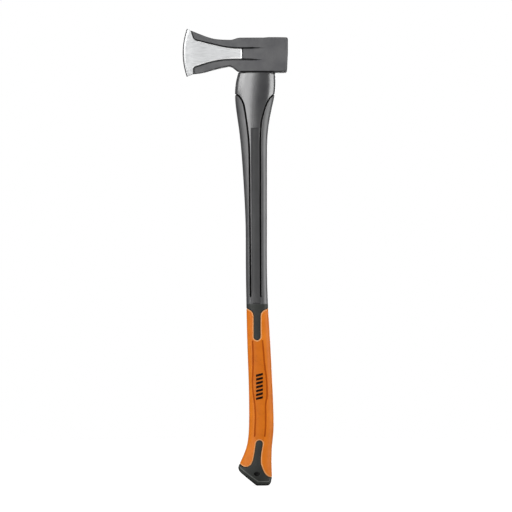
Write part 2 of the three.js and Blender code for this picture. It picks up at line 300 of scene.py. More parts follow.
def on_handle(spots):
    """Points of the handle's surface. A spot is the distance round from the middle of
    the +Y side, towards the back, and the height."""
    s, z = spots[:, 0], spots[:, 1]
    share = s / (2 * half_round(z)) + 0.5
    share = np.where(np.abs(share) < 1e-7, 0, np.where(np.abs(share - 1) < 1e-7, 1, share))
    beyond = (share < 0) | (share > 1)
    share = np.where(share < 0, -share, np.where(share > 1, 2 - share, share))
    column = share * ROUND
    row = np.clip(z - ROWS[0], 0, len(ROWS) - 1.001)
    i, j = row.astype(int), np.clip(column.astype(int), 0, ROUND - 1)
    u, v = row - i, column - j
    corners = []
    for table in (TABLE_X, TABLE_Y):
        low = table[i, j] * (1 - v) + table[i, j + 1] * v
        high = table[i + 1, j] * (1 - v) + table[i + 1, j + 1] * v
        corners.append(low * (1 - u) + high * u)
    return np.column_stack([corners[0], np.where(beyond, -corners[1], corners[1]), z])


def handle_normal(spots):
    """Outward directions of the handle's surface."""
    step = 0.5
    round_ = on_handle(spots + [step, 0]) - on_handle(spots - [step, 0])
    along = on_handle(spots + [0, step]) - on_handle(spots - [0, step])
    normal = np.cross(along, round_)
    return normal / np.linalg.norm(normal, axis=1, keepdims=True)


def on_seam(spots):
    """True for each spot in the middle plane, where the handle's two sides meet."""
    return np.abs(np.abs(spots[:, 0]) - half_round(spots[:, 1])) < SEAM_NEAR


def raised(spots, height):
    """Points of the handle's surface moved outwards by height."""
    where = on_handle(spots) + handle_normal(spots) * np.reshape(height, (-1, 1))
    where[on_seam(spots), 1] = 0
    return where


def spots_of(side_view, clip=True):
    """A line drawn in the side view, X against height, as spots on the +Y surface. The
    stretch beyond the handle's own outline is cut off where it crosses the outline."""
    front, back = section(side_view[:, 1])[:, :2].T
    shown = (side_view[:, 0] > front) & (side_view[:, 0] < back)
    spots = []
    for x, z in side_view[shown]:
        row = z - ROWS[0]
        i = int(row)
        xs = TABLE_X[i] * (1 - row + i) + TABLE_X[i + 1] * (row - i)
        share = np.interp(x, xs, np.linspace(0, 1, ROUND + 1))
        spots.append([(share - 0.5) * 2 * half_round(z), z])
    if not clip:
        return np.array(spots)
    first, last = np.flatnonzero(shown)[[0, -1]]
    if first > 0:
        z = crossing(side_view[first - 1], side_view[first], in_outline)[1]
        spots.insert(0, [math.copysign(half_round(z), spots[0][0]), z])
    if last < len(side_view) - 1:
        z = crossing(side_view[last + 1], side_view[last], in_outline)[1]
        spots.append([math.copysign(half_round(z), spots[-1][0]), z])
    return np.array(spots)


def in_outline(point):
    """True for a point of the side view that is inside the handle's outline."""
    front, back = section(point[1])[:2]
    return front < point[0] < back


# ---- Filling an outline with triangles ----


class Net:
    """Triangles in a plane, and which of their edges are on the outline."""

    def __init__(self, loops, rails, spacing, closed_rails=()):
        lines = [(loop, True) for loop in loops] + [(rail, False) for rail in rails]
        lines += [(rail, True) for rail in closed_rails]
        points, edges = [], []
        for line, closed in lines:
            first = len(points)
            points.extend(map(tuple, line))
            last = len(line) if closed else len(line) - 1
            edges.extend((first + k, first + (k + 1) % len(line)) for k in range(last))
        points.extend(self.field(loops, points, spacing))
        flat, _, faces, _, _, _ = delaunay_2d_cdt(
            [Vector(p) for p in points], edges, [], 0, 1e-5
        )
        self.spots = np.array([tuple(p) for p in flat])
        faces = np.array([face for face in faces if len(face) == 3])
        middle = self.spots[faces].mean(axis=1)
        self.faces = faces[inside(middle, loops)]
        self.border = self.border_edges()

    @staticmethod
    def field(loops, points, spacing):
        """Evenly spaced points inside the loops, clear of the points already there."""
        tree = KDTree(len(points))
        for k, (x, y) in enumerate(points):
            tree.insert((x, y, 0), k)
        tree.balance()
        low, high = np.min(loops[0], axis=0), np.max(loops[0], axis=0)
        rows = np.arange(low[1], high[1], spacing * 0.87)
        grid = [
            (x + (k % 2) * spacing / 2, y)
            for k, y in enumerate(rows)
            for x in np.arange(low[0], high[0], spacing)
        ]
        grid = np.array(grid)
        grid = grid[inside(grid, loops)]
        clear = [tree.find((x, y, 0))[2] > spacing * 0.55 for x, y in grid]
        return [tuple(p) for p in grid[clear]]

    def middles(self):
        return self.spots[self.faces].mean(axis=1)

    def border_edges(self):
        """Edges with a triangle on one side only, in the triangle's direction."""
        count = len(self.spots)
        a = self.faces
        runs = np.concatenate([a[:, [0, 1]], a[:, [1, 2]], a[:, [2, 0]]])
        forward = runs[:, 0] * count + runs[:, 1]
        backward = runs[:, 1] * count + runs[:, 0]
        return runs[~np.isin(forward, backward)]


def drop(distance, radius):
    """How far a rounded edge lies below the surface, at a distance from the edge."""
    near = np.clip(radius - distance, 0, radius)
    return radius - np.sqrt(np.maximum(radius ** 2 - near ** 2, 0))


def dip(distance, half_width):
    """The profile of a soft groove: 1 in its middle and 0 from half_width on."""
    t = np.clip(distance / half_width, 0, 1)
    return 0.5 + 0.5 * np.cos(math.pi * t)


def ramp(value, low, high):
    """A smooth step from 0 to 1."""
    t = np.clip((value - low) / (high - low), 0, 1)
    return t * t * (3 - 2 * t)


ROUND_RAILS = (0.07, 0.25, 0.55, 1.0)  # shares of a radius that get a rail
GROOVE_RAILS = (-1.0, -0.66, -0.33, 0.0, 0.33, 0.66, 1.0)

# ---- Material slots of each piece, and the materials in them ----

PAINT, STEEL, STEEL_HIGHLIGHT, PAINT_SHADE, EDGE_DARK_LINE, OUTLINE_SHADE, BEVEL_GRIND_AND_HIGHLIGHT = range(7)
HEAD_LOOKS = "matt_paint ground_steel bright_steel pooled_paint honed_edge edge_paint bevel_steel"
JACKET, PANEL_DARK, BLACK, GROOVE_SHADE, STRIP = range(5)
JACKET_LOOKS = "jacket_plastic jacket_panel black_rubber jacket_groove jacket_strip"
ORANGE, BAR, LINE_SHADE, RIM_WEAR_AND_HIGHLIGHT, SIDE_LIGHT = range(5)
SLEEVE_LOOKS = "orange_rubber black_edge orange_line orange_rim orange_side"
KNOB, SHADOW, BEAD_HIGHLIGHT = range(3)
KNOB_LOOKS = "black_rubber black_edge worn_bead"

# ---- Meshes ----

SHARP = 35  # degrees between faces from which an edge shows as a crease
RING = 96  # points round an oval


def in_scene(name, data):
    """A new object in the scene, for a mesh, a light or a camera."""
    obj = bpy.data.objects.new(name, data)
    bpy.context.scene.collection.objects.link(obj)
    return obj


def clean(obj):
    """Welds points that meet, drops flat faces and unused points, turns faces out and
    marks sharp edges."""
    bm = bmesh.new()
    bm.from_mesh(obj.data)
    bmesh.ops.remove_doubles(bm, verts=bm.verts, dist=2e-6)
    bmesh.ops.dissolve_degenerate(bm, edges=bm.edges, dist=1e-7)
    unused = [vertex for vertex in bm.verts if not vertex.link_faces]
    bmesh.ops.delete(bm, geom=unused, context="VERTS")
    bmesh.ops.recalc_face_normals(bm, faces=bm.faces)
    for face in bm.faces:
        face.smooth = True
    limit = math.radians(SHARP)
    for edge in bm.edges:
        edge.smooth = len(edge.link_faces) != 2 or edge.calc_face_angle(0) < limit
    bm.to_mesh(obj.data)
    bm.free()


class Body:
    """Points and faces gathered from both sides of the middle plane."""

    def __init__(self):
        self.points, self.faces, self.slots = [], [], []
        self.count = 0

    def add(self, points, faces, slot=0):
        slots = np.broadcast_to(slot, len(faces))
        self.points.append(points)
        self.faces.extend([tuple(int(k) + self.count for k in face) for face in faces])
        self.slots.extend(int(k) for k in slots)
        self.count += len(points)

    def both(self, points, faces, slot=0):
        """The same sheet on the +Y side and, turned over, on the -Y side."""
        self.add(points, faces, slot)
        self.add(points * [1, -1, 1], np.asarray(faces)[:, ::-1], slot)

    def stack(self, rings):
        """Quads between closed rings that have the same number of points."""
        count = len(rings[0])
        faces = []
        for here in range(0, count * (len(rings) - 1), count):
            there = here + count
            for k in range(count):
                n = (k + 1) % count
                faces.append((here + k, here + n, there + n, there + k))
        self.add(np.concatenate(rings), faces)

    def object(self, name, looks=()):
        """A mesh object in metres, welded, with its faces out and soft shading."""
        mesh = bpy.data.meshes.new(name)
        mesh.from_pydata((np.concatenate(self.points) * MM).tolist(), [], self.faces)
        obj = in_scene(name, mesh)
        for look in looks:
            mesh.materials.append(look)
        mesh.polygons.foreach_set("material_index", np.array(self.slots, np.int32))
        clean(obj)
        return obj


def two_sided(name, looks, net, points, slots, seam, parts=6):
    """A closed body: the +Y side's sheet, its mirror image and the walls across."""
    body = Body()
    body.both(points, net.faces, slots)
    across(body, net, points, seam, parts)
    return body.object(name, looks)


def without_slivers(net):
    """Leaves out the slivers whose three corners are all on the seam, in the middle plane."""
    net.faces = net.faces[~on_seam(net.spots)[net.faces].all(axis=1)]
    net.border = net.border_edges()
    return net


def wall_edges(net, seam):
    """The outline's edges that aren't on the seam where the two sides meet."""
    return np.array([edge for edge in net.border if not (seam[edge[0]] and seam[edge[1]])])


def across(body, net, points, seam, parts):
    """Walls from the +Y side straight across to the -Y side, along the outline."""
    edges = wall_edges(net, seam)
    for share in range(parts):
        here = points * [1, 1 - 2 * share / parts, 1]
        there = points * [1, 1 - 2 * (share + 1) / parts, 1]
        a, b = edges[:, 0], edges[:, 1]
        walls = np.stack([here[b], here[a], there[a], there[b]], axis=1)
        body.add(walls.reshape(-1, 3), np.arange(len(edges) * 4).reshape(-1, 4))


def apply_boolean(obj, other, operation):
    """Joins or cuts obj with another object, which is then deleted. The other object's
    faces take the first material."""
    looks = list(obj.data.materials)
    modifier = obj.modifiers.new("cut", "BOOLEAN")
    modifier.operation = operation
    modifier.solver = "MANIFOLD"
    modifier.object = other
    graph = bpy.context.evaluated_depsgraph_get()
    mesh = bpy.data.meshes.new_from_object(obj.evaluated_get(graph))
    slots = np.zeros(len(mesh.polygons), np.int32)
    mesh.polygons.foreach_get("material_index", slots)
    mesh.materials.clear()
    for look in looks:
        mesh.materials.append(look)
    mesh.polygons.foreach_set("material_index", np.where(slots < len(looks), slots, 0))
    obj.modifiers.clear()
    old = obj.data
    obj.data = mesh
    bpy.data.meshes.remove(old)
    bpy.data.objects.remove(other)
    clean(obj)


def oval_ring(z, length, width, centre=EYE_X, power=2.2):
    """A level ring of points round an oval."""
    turn = np.linspace(0, 2 * math.pi, RING, endpoint=False)
    along, across = squared_oval(turn, power)
    return np.column_stack([centre + length * along, width * across, np.full(RING, z)])


def column(name, rings, looks=()):
    """A closed body from rings stacked one on another."""
    body = Body()
    body.stack(rings)
    count = len(rings[0])
    for ring in (rings[0], rings[-1]):
        body.add(ring, [tuple(range(count))])
    return body.object(name, looks)


def handle_column(name, low, high, step, inset):
    """The handle's outer form made smaller all round, as a closed body."""
    rings = []
    for z in np.linspace(low, high, math.ceil((high - low) / step) + 1):
        front, back, half, power = section(z)
        middle, reach = (front + back) / 2, (back - front) / 2
        rings.append(oval_ring(z, reach - inset, half - inset, middle, power))
    return column(name, rings)


# ---- Lines on the handle, drawn in the side view ----

FINE, COARSE = 0.9, 1.5  # steps along a drawn line
UPPER = {"x": -10.6, "half": 6.6, "foot": 293.0, "neck": 332.0}
LOWER = {"x": -6.2, "half": 6.7, "top": 82.4}


def upper_edge(away=0.0):
    """The edge between shaft and sleeve from back to front, moved off the tongue."""
    x, foot, neck = UPPER["x"], UPPER["foot"], UPPER["neck"]
    side, lift = UPPER["half"] + away, GRIP_TOP - away
    back, front = (x + 22 + away, lift - 3), (x - 22 - away, lift - 3)
    line = join(
        (x + 40, lift + 2), back,
        bezier(back, (x + 13 + away, lift - 6), (x + side, neck + 11), (x + side, neck)),
        arc((x, foot), side, 0, -180), (x - side, neck),
        bezier((x - side, neck), (x - side, neck + 11), (x - 13 - away, lift - 6), front),
        (x - 60, lift + 2),
    )
    return spots_of(resample(line, FINE))


def lower_edge(away=0.0):
    """The edge between knob and sleeve from front to back, moved off the tongue."""
    x, top = LOWER["x"], LOWER["top"]
    side = LOWER["half"] + away
    front, back = (-43, 41 + away), (17, 16 + away)
    cheek, valley = (-18.5 - away, 50 + away), (-3.4 + away, 45)
    line = join(
        (-70, 52 + away), front,
        bezier(front, (-35, 33 + away), (-22 - away, 36 + away), cheek),
        bezier(cheek, (-16 - away, 60), (-14.5 - away, 72), (x - side, top)),
        arc((x, top), side, 180, 0),
        bezier((x + side, top), (-1 + away, 72), (-4.5 + away, 60), valley),
        bezier(valley, (-2 + away, 36), (5 + away, 17 + away), back),
        (40, 14 + away),
    )
    return spots_of(resample(line, FINE))


def sole_line():
    """The knob's underside from back to front: heel flat, slanted sole, round corners."""
    line = join(
        (40, 13), (18.6, 11), (18.6, 9),
        bezier((18.6, 9), (18.6, 4), (16, 0), (11, 0)), (-9, 0),
        bezier((-9, 0), (-11.5, 0), (-13.2, 1.1), (-15.5, 2.9)), (-44.5, 25.3),
        bezier((-44.5, 25.3), (-47.5, 27.5), (-49, 30), (-49, 34)), (-49, 120),
    )
    return spots_of(resample(line, FINE))


def seam(side, start, end):
    """The middle plane's line on the front (-1) or back (1), between two heights."""
    z = np.linspace(start, end, max(2, math.ceil(abs(end - start) / COARSE) + 1))
    return np.column_stack([side * half_round(z), z])


def level(z):
    """A level line round the +Y side from front to back."""
    reach = half_round(z)
    s = np.linspace(-reach, reach, math.ceil(2 * reach / COARSE) + 1)
    return np.column_stack([s, np.full(len(s), z)])


GROOVES = [
    [(-58, 770.5), (-50.4, 769.2), (-46.8, 767), (-42.2, 761.4), (-38.3, 753.5), (-34.7, 737.3),
     (-31.1, 713), (-27.2, 677), (-25.9, 640), (-25.1, 560), (-24.4, 480), (-23.6, 373)],
    [(30, 771.5), (22.7, 770.2), (19.7, 768), (15.1, 763.2), (10.6, 756), (6.1, 746), (2.2, 733),
     (-1.5, 719), (-3.6, 700), (-4.2, 650), (-4.1, 560), (-3.8, 480), (-3.4, 373)],
]
GROOVE_HALF, GROOVE_DEPTH = 2.1, 2.2
PANEL = [(-22.6, 704), (-21.6, 378), (-5, 378), (-6.2, 704)]
PANEL_DEPTH, PANEL_WALL = 0.5, 0.9
CREASE = [(-18.6, 358.5), (-4.4, 358)]
CREASE_HALF, CREASE_DEPTH = 1.1, 0.5
PANEL_LOOK = [
    (-22.6, 704), (-21.6, 378), (-24.5, 376), (-24.5, 350), (-2.8, 350), (-2.8, 376), (-5, 378),
    (-6.2, 704),
]
TONGUE_LOOK_TOP = 357  # height where the jacket's grey ends and the soft tongue starts
GAP_LOOK = 0.8  # width of the shadowed edge beside the sleeve
LINE_SHARE = 0.85  # how much of a groove's half width has the groove's painted shade

SLEEVE_LINES = [
    [(-19.6, 284), (-18.6, 262), (-18.6, 238), (-19.2, 220), (-19.9, 205), (-19.3, 191),
     (-17.6, 177), (-15.8, 164.5), (-14.2, 147), (-14, 129), (-14.8, 112), (-15.4, 98)],
    [(0, 285), (1.6, 270), (3, 252), (4.7, 234), (6.7, 221), (8.1, 208), (8.9, 191),
     (8.5, 173), (6.7, 164.5), (6.3, 147), (6.3, 129), (5.9, 112), (4.5, 98)],
]
SLEEVE_LINE_HALF, SLEEVE_LINE_DEPTH = 2.0, 0.6
SLEEVE_PANEL_DEPTH, SLEEVE_PANEL_WALL = 0.35, 4
SLEEVE_PANEL_ENDS = (96, 112), (286, 262)  # heights where the sunk panel fades in
SLEEVE_ROUND = 1.3
RIM_WIDTH = 2.0  # width of the sleeve's rolled edge, paler from wear and a painted highlight
BARS, BAR_FOOT, BAR_PITCH = 7, 170.5, 7.6
BAR_HEIGHT, BAR_SIDE, BAR_RAIL = 0.35, 0.6, 0.35


def shaft_strips():
    """Side views of the narrow faces outside the two grooves, down to the sleeve."""
    foot = TONGUE_LOOK_TOP - 10
    for knots, outside in zip(GROOVES, (-90, 60)):
        yield join(knots[0], through(knots), (knots[-1][0], foot), (outside, foot),
                   (outside, knots[0][1]))


def grip_panel():
    """Side view of the sleeve's middle face, between the lines and up to both tongues."""
    front, back = (join(knots[0], through(knots)) for knots in SLEEVE_LINES)
    return join((-17.6, 291), front, (-13.4, 85), (1, 85), back[::-1], (-3.6, 291))


def drawn(knots, clip=False):
    """A smooth line through knots of the side view, as spots."""
    line = join(knots[0], through(knots))
    return spots_of(resample(line, COARSE), clip)


def closed_line(corners, step=COARSE):
    """A closed line through corners of the side view, as spots."""
    return spots_of(resample(join(*corners, corners[0]), step), clip=False)[:-1]


def rails_of(line, width, shares, closed=False):
    """The line moved sideways by several shares of a width."""
    return [offset(line, width * share, closed) for share in shares]


# ---- Pieces of the handle ----


def handle_jacket(looks):
    """Grey moulded handle: collar, grooved shaft, black upper tongue and grip core."""
    edge = upper_edge()
    top = level(COLLAR_TOP)
    loop = join(
        edge, seam(-1, edge[-1, 1], COLLAR_TOP)[1:], top[1:-1],
        seam(1, COLLAR_TOP, edge[0, 1])[:-1],
    )
    edge_radius, top_radius = 1.0, 1.6
    grooves = [drawn(knots, True) for knots in GROOVES]
    panel = closed_line(PANEL)
    crease = drawn(CREASE)
    rails = rails_of(edge, -edge_radius, ROUND_RAILS) + rails_of(top, -top_radius, ROUND_RAILS)
    for groove in grooves:
        rails += rails_of(groove, GROOVE_HALF, GROOVE_RAILS)
    rails += rails_of(crease, CREASE_HALF, GROOVE_RAILS)
    panel_rails = rails_of(panel, PANEL_WALL, (0, -0.5, -1), True)
    net = without_slivers(Net([loop], rails, JACKET_STEP, panel_rails))
    spots = net.spots
    height = -drop(distance_to(spots, edge), edge_radius)
    height -= drop(distance_to(spots, top), top_radius)
    for groove in grooves:
        height -= GROOVE_DEPTH * dip(distance_to(spots, groove), GROOVE_HALF)
    sunk = np.where(inside(spots, [panel]), distance_to(spots, panel, True), 0)
    height -= PANEL_DEPTH * ramp(sunk, 0, PANEL_WALL)
    height -= CREASE_DEPTH * dip(distance_to(spots, crease), CREASE_HALF)
    middles = net.middles()
    slots = np.where(inside(middles, [closed_line(PANEL_LOOK)]), PANEL_DARK, JACKET)
    view = on_handle(middles)[:, [0, 2]]
    for strip in shaft_strips():
        slots[inside(view, [strip])] = STRIP
    slots[middles[:, 1] < TONGUE_LOOK_TOP] = BLACK
    # Painted shade: near-black plastic along the sleeve's edge and down the grooves
    slots[distance_to(middles, edge) < GAP_LOOK] = GROOVE_SHADE
    for groove in grooves:
        slots[distance_to(middles, groove) < GROOVE_HALF * LINE_SHARE] = GROOVE_SHADE
    points = raised(spots, height)
    jacket = two_sided("moulded_handle", looks, net, points, slots, on_seam(spots))
    core = handle_column("grip_core", CORE_FOOT, GRIP_TOP + 4, 6, GRIP_WALL + GAP)
    apply_boolean(jacket, core, "UNION")
    apply_boolean(jacket, tongue("tongue", COLLAR_TOP - 12, TONGUE_TOP, 0), "UNION")
    apply_boolean(jacket, rod_space(), "DIFFERENCE")
    return jacket


def rod_space():
    """The leaning bore that the fibreglass rod fills."""
    low, high = cad_box("core_rod")
    length, width = 10, high[1]
    ends = (low[2] - 5, high[0] - length), (high[2] + 5, low[0] + length)
    rings = [oval_ring(z, length + GAP, width + GAP, x, 2) for z, x in ends]
    return column("rod_space", rings)


def grip_sleeve(looks):
    """Orange soft grip: rolled rims, two moulded lines a side and a sunk panel."""
    top, foot = upper_edge(GAP), lower_edge(GAP)
    loop = join(
        top, seam(-1, top[-1, 1], foot[0, 1])[1:-1], foot,
        seam(1, foot[-1, 1], top[0, 1])[1:-1],
    )
    lines = [drawn(knots) for knots in SLEEVE_LINES]
    panel = join(lines[0], lines[1][::-1])
    bars = [grip_bar(k) for k in range(BARS)]
    rails = [rail for line in (top, foot) for rail in rails_of(line, SLEEVE_ROUND, ROUND_RAILS)]
    for line in lines:
        rails += rails_of(line, SLEEVE_LINE_HALF, GROOVE_RAILS)
    bar_rails = [rail for bar in bars for rail in rails_of(bar, BAR_RAIL, (0, 1, 2), True)]
    net = without_slivers(Net([loop], rails, SLEEVE_STEP, bar_rails))
    spots = net.spots
    height = -sum(drop(distance_to(spots, line), SLEEVE_ROUND) for line in (top, foot))
    for line in lines:
        height -= SLEEVE_LINE_DEPTH * dip(distance_to(spots, line), SLEEVE_LINE_HALF)
    sunk = np.where(inside(spots, [panel]), distance_to(spots, lines[0]), 0)
    sunk = np.minimum(sunk, distance_to(spots, lines[1]))
    foot_end, top_end = (ramp(spots[:, 1], *pair) for pair in SLEEVE_PANEL_ENDS)
    height -= SLEEVE_PANEL_DEPTH * foot_end * top_end * ramp(sunk, 0, SLEEVE_PANEL_WALL)
    middles = net.middles()
    # Painted light: outside the middle panel the sleeve takes a lighter copy of the orange
    slots = np.where(inside(on_handle(middles)[:, [0, 2]], [grip_panel()]), ORANGE, SIDE_LIGHT)
    # Painted shade: deep orange down the middle of each moulded line
    for line in lines:
        slots[distance_to(middles, line) < SLEEVE_LINE_HALF * LINE_SHARE] = LINE_SHADE
    # Wear and a painted highlight: pale orange along the rolled rims
    for line in (top, foot):
        slots[distance_to(middles, line) < RIM_WIDTH] = RIM_WEAR_AND_HIGHLIGHT
    for bar in bars:
        rise = BAR_HEIGHT * ramp(distance_to(spots, bar, True), 0, BAR_SIDE)
        height += np.where(inside(spots, [bar]), rise, 0)
        slots[inside(middles, [bar])] = BAR
    outer = raised(spots, height)
    inner = raised(spots, np.full(len(spots), -GRIP_WALL))
    body = Body()
    body.both(outer, net.faces, slots)
    body.both(inner, net.faces[:, ::-1])
    rim = wall_edges(net, on_seam(spots))
    for low, high in zip(rim[:, 0], rim[:, 1]):
        wall = np.array([outer[high], outer[low], inner[low], inner[high]])
        body.both(wall, [(0, 1, 2, 3)])
    return body.object("soft_grip", looks)


def grip_bar(k):
    """One slanted bar of the grip's motif, as a closed line of spots."""
    z = BAR_FOOT + BAR_PITCH * k
    corners = [(-12.8, z - 2), (0.8, z + 1.6), (0.8, z + 6.2), (-12.8, z + 2.6)]
    return closed_line(corners, FINE)


POCKET = {"x": -10.8, "z": 23.1, "length": 6.0, "height": 4.0, "web": 8.0, "swell": 1.3}
SOLE_ROUND = 4.2
SOLE_SHADE_WIDTH = 2.6  # width of the painted shade that outlines the sole


def pocket_outline():
    """The oval pocket's mouth in the side view."""
    turn = np.linspace(0, 2 * math.pi, 49)[:-1]
    x = POCKET["x"] + POCKET["length"] * np.cos(turn)
    return np.column_stack([x, POCKET["z"] + POCKET["height"] * np.sin(turn)])


def butt_cap(looks):
    """Black knob: tongue up each side, bead round the sole and a pocket in each side."""
    edge, sole = lower_edge(), sole_line()
    loop = join(
        edge, seam(1, edge[-1, 1], sole[0, 1])[1:-1], sole,
        seam(-1, sole[-1, 1], edge[0, 1])[1:-1],
    )
    hole = spots_of(pocket_outline(), clip=False)
    edge_radius, hole_radius = 1.0, 0.9
    bead, bead_half, bead_height, bead_highlight_share = 8.0, 1.6, 0.6, 0.7
    rails = rails_of(edge, -edge_radius, ROUND_RAILS) + rails_of(sole, -SOLE_ROUND, ROUND_RAILS)
    rails += [offset(sole, -bead - bead_half * share) for share in GROOVE_RAILS]
    hole_rails = rails_of(hole, -hole_radius, ROUND_RAILS, True)
    net = without_slivers(Net([loop, hole], rails, KNOB_STEP, hole_rails))
    spots = net.spots
    from_sole = distance_to(spots, sole)
    height = -drop(distance_to(spots, edge), edge_radius) - drop(from_sole, SOLE_ROUND)
    height -= drop(distance_to(spots, hole, True), hole_radius)
    height += bead_height * dip(np.abs(from_sole - bead), bead_half)
    points = raised(spots, height)
    points[:, 2] = spots[:, 1]
    middles = net.middles()
    beside = distance_to(middles, sole)
    # Painted highlight: lighter rubber along the bead round the sole
    slots = np.where(np.abs(beside - bead) < bead_half * bead_highlight_share, BEAD_HIGHLIGHT, KNOB)
    # Painted shade: near-black rubber beside the sleeve's edge and round the sole
    slots[(distance_to(middles, edge) < GAP_LOOK) | (beside < SOLE_SHADE_WIDTH)] = SHADOW
    cap = two_sided("butt_knob", looks, net, points, slots, on_seam(spots))
    plug = handle_column("plug", 30, CORE_FOOT - GAP, 3, GRIP_WALL + GAP)
    apply_boolean(cap, plug, "UNION")
    outline = offset(pocket_outline(), -POCKET["swell"], True)
    sides = [np.column_stack([outline[:, 0], np.full(len(outline), y), outline[:, 1]])
             for y in (-POCKET["web"], POCKET["web"])]
    apply_boolean(cap, column("web", sides), "UNION")
    core = handle_column("core_space", CORE_FOOT - GAP, 100, 4, GRIP_WALL)
    apply_boolean(cap, core, "DIFFERENCE")
    return cap


# ---- Bond between head and handle ----


KEY_DEPTH, KEY_PITCH = 0.4, 12  # half depth and spacing of the tongue's keying rings


def eye_size(z):
    """Half length and half width of the eye at a height."""
    share = (z - HEAD_FOOT) / (HEAD_TOP - HEAD_FOOT)
    return [foot + share * (crown - foot) for foot, crown in zip(EYE_FOOT, EYE_CROWN)]


def tongue(name, low, high, grow):
    """Tongue of the handle in the eye, with its keying rings, grown outwards."""
    rings = []
    for z in np.linspace(low, high, math.ceil((high - low) / 1.5) + 1):
        turn = 2 * math.pi * (z - TONGUE_TOP) / KEY_PITCH
        inset = KEY_DEPTH * (1 + math.cos(turn)) - grow
        rings.append(oval_ring(z, TONGUE[0] - inset, TONGUE[1] - inset))
    return column(name, rings)


def eye_resin(looks):
    """Cured epoxy round the tongue, its top drawn up a little where it wets the eye."""
    rings = []
    for z in (GASKET_TOP + GAP, 840, 860, RESIN_TOP):
        length, width = eye_size(z)
        rings.append(oval_ring(z, length - GAP, width - GAP))
    length, width = eye_size(RESIN_TOP)
    for share in (0.98, 0.95, 0.9, 0.82, 0.7, 0.5, 0.25, 0.02):
        sag = 1.6 * (1 - share ** 8)
        rings.append(oval_ring(RESIN_TOP - sag, (length - GAP) * share, (width - GAP) * share))
    resin = column("cast_resin", rings, looks)
    space = tongue("tongue_space", GASKET_TOP - 13, TONGUE_TOP + GAP, GAP)
    apply_boolean(resin, space, "DIFFERENCE")
    return resin


# ---- Forged head ----

cheek_plan = monotone([
    (-170, 4.2), (-136, 7), (-100, 12.2), (-60, 18.6), (-32, 22.8), (-14, CHEEK), (60, CHEEK),
])
web_plan = monotone([
    (-170, 1.4), (-152, 2.3), (-136, 4.4), (-90, 8.8), (NECK, 14.6), (-20, 19.2),
    (-6, 22.2), (4, 23.6), (12, CHEEK), (70, CHEEK),
])
round_plan = monotone([
    (-160, 0.3), (-140, 0.9), (-100, 1.8), (NECK, 2.4), (POLL_FACE - 16, 2.8), (POLL_FACE - 6, 6),
    (POLL_FACE, 6),
])

WEB_TOP = join(
    (-144, 905), (-140.5, 896.5), (-137.4, 886),
    bezier((-137.4, 886), (-136.2, 881.6), (-134.5, 878.6), (-130, 877.2), 8),
    through([(-130, 877.2), (-102, 870.3), (-67, 862.8), (NECK, 861)]), (12, 861),
)
WEB_FOOT = join(
    (-136, 803), (-136, 819), bezier((-136, 819), (-136, 822.6), (-134, 824.4), (-130, 825.6), 8),
    through([(-130, 825.6), (-102, 834), (-67, 838.8), (NECK, 838.8)]), (12, 837),
)
WEB_WALL = 1.5  # half width of the flanges' inner walls
BARE_END = -40.5  # X where the bare steel ends in the neck
BARE_INSET = 1.3  # how far inside the web's outline the paint ends
BARE_DEPTH, BARE_ROUND = 0.5, 2.6
HIGHLIGHT_START = -128  # X from which the bare steel has a painted highlight along its rim
WEB_MIDDLE = 850
DARK_LINE_WIDTH = 2.1  # width of the near-black line painted along the very edge as shade
EDGE_RISE = BEVEL_HALF / BEVEL_WIDTH


def on_circle(outer, inner):
    """Where a step from outside the cutting edge's circle to its inside crosses it."""
    return crossing(outer, inner, lambda p: np.linalg.norm(p - EDGE_CENTRE) <= EDGE_RADIUS)


def edge_arc(inset, top, foot):
    """The cutting edge from its foot to its top, moved in by inset."""
    high, low = [math.degrees(math.atan2(*(p - EDGE_CENTRE)[::-1])) % 360 for p in (top, foot)]
    count = math.ceil(math.radians(low - high) * EDGE_RADIUS)
    return arc(EDGE_CENTRE, EDGE_RADIUS - inset, low, high, count)


def head_lines():
    """The head's outline in the side view without its cutting edge, from the top of the
    edge round the poll to the foot of the edge."""
    top, foot = on_circle((-162, 906.2), (-140, 895.8)), on_circle((-162, 799.5), (-138, 810.4))
    poll, corner = POLL_FACE, 4
    line = join(
        top, (-140, 895.8), through([(-140, 895.8), (-120, 887.6), (-97, 880), (-64, 877.2)]),
        bezier((-64, 877.2), (-55, 877.2), (-53, HEAD_TOP), (NECK, HEAD_TOP)),
        (0, HEAD_TOP), bezier((0, HEAD_TOP), (6, HEAD_TOP), (8, POLL_TOP), (14, POLL_TOP)),
        arc((poll - corner, POLL_TOP - corner), corner, 90, 0), (poll, 852),
        (poll - 1.6, HEAD_FOOT + 4),
        bezier((poll - 1.6, HEAD_FOOT + 4), (poll - 1.7, HEAD_FOOT + 1.5),
               (poll - 3, HEAD_FOOT), (poll - 6, HEAD_FOOT)),
        (NECK, HEAD_FOOT),
        bezier((NECK, HEAD_FOOT), (-54, HEAD_FOOT + 2), (-56, 826), (-67, 825.8)),
        through([(-67, 825.8), (-96, 819), (-120, 812.6), (-138, 810.4)]), foot,
    )
    return resample(line, 1.0), top, foot


def bit_loop(top, foot):
    """A closed line round the web, from the neck to well beyond the cutting edge."""
    return join((-175, 930), (-144, 930), top, foot[::-1], (-137, 780), (-175, 780))


def bare_outline():
    """Side view of the unpainted steel: the web from the neck out over the whole bit."""
    top, foot = offset(WEB_TOP[:-1], -BARE_INSET), offset(WEB_FOOT[:-1], BARE_INSET)
    top_z, foot_z = top[-1, 1], foot[-1, 1]
    corner = 2.4
    neck = join(
        arc((BARE_END - corner, top_z - corner), corner, 90, 0, 8),
        arc((BARE_END - corner, foot_z + corner), corner, 0, -90, 8),
    )
    loop = bit_loop(join(top, neck), foot)
    return resample(join(loop, loop[0]), 1.0)[:-1]


def within_web(spots):
    """How far inside the low web each point lies, below 0 on the flanges and cheeks."""
    distance = np.minimum(distance_to(spots, WEB_TOP), distance_to(spots, WEB_FOOT))
    return np.where(inside(spots, [bit_loop(WEB_TOP, WEB_FOOT)]), distance, -distance)


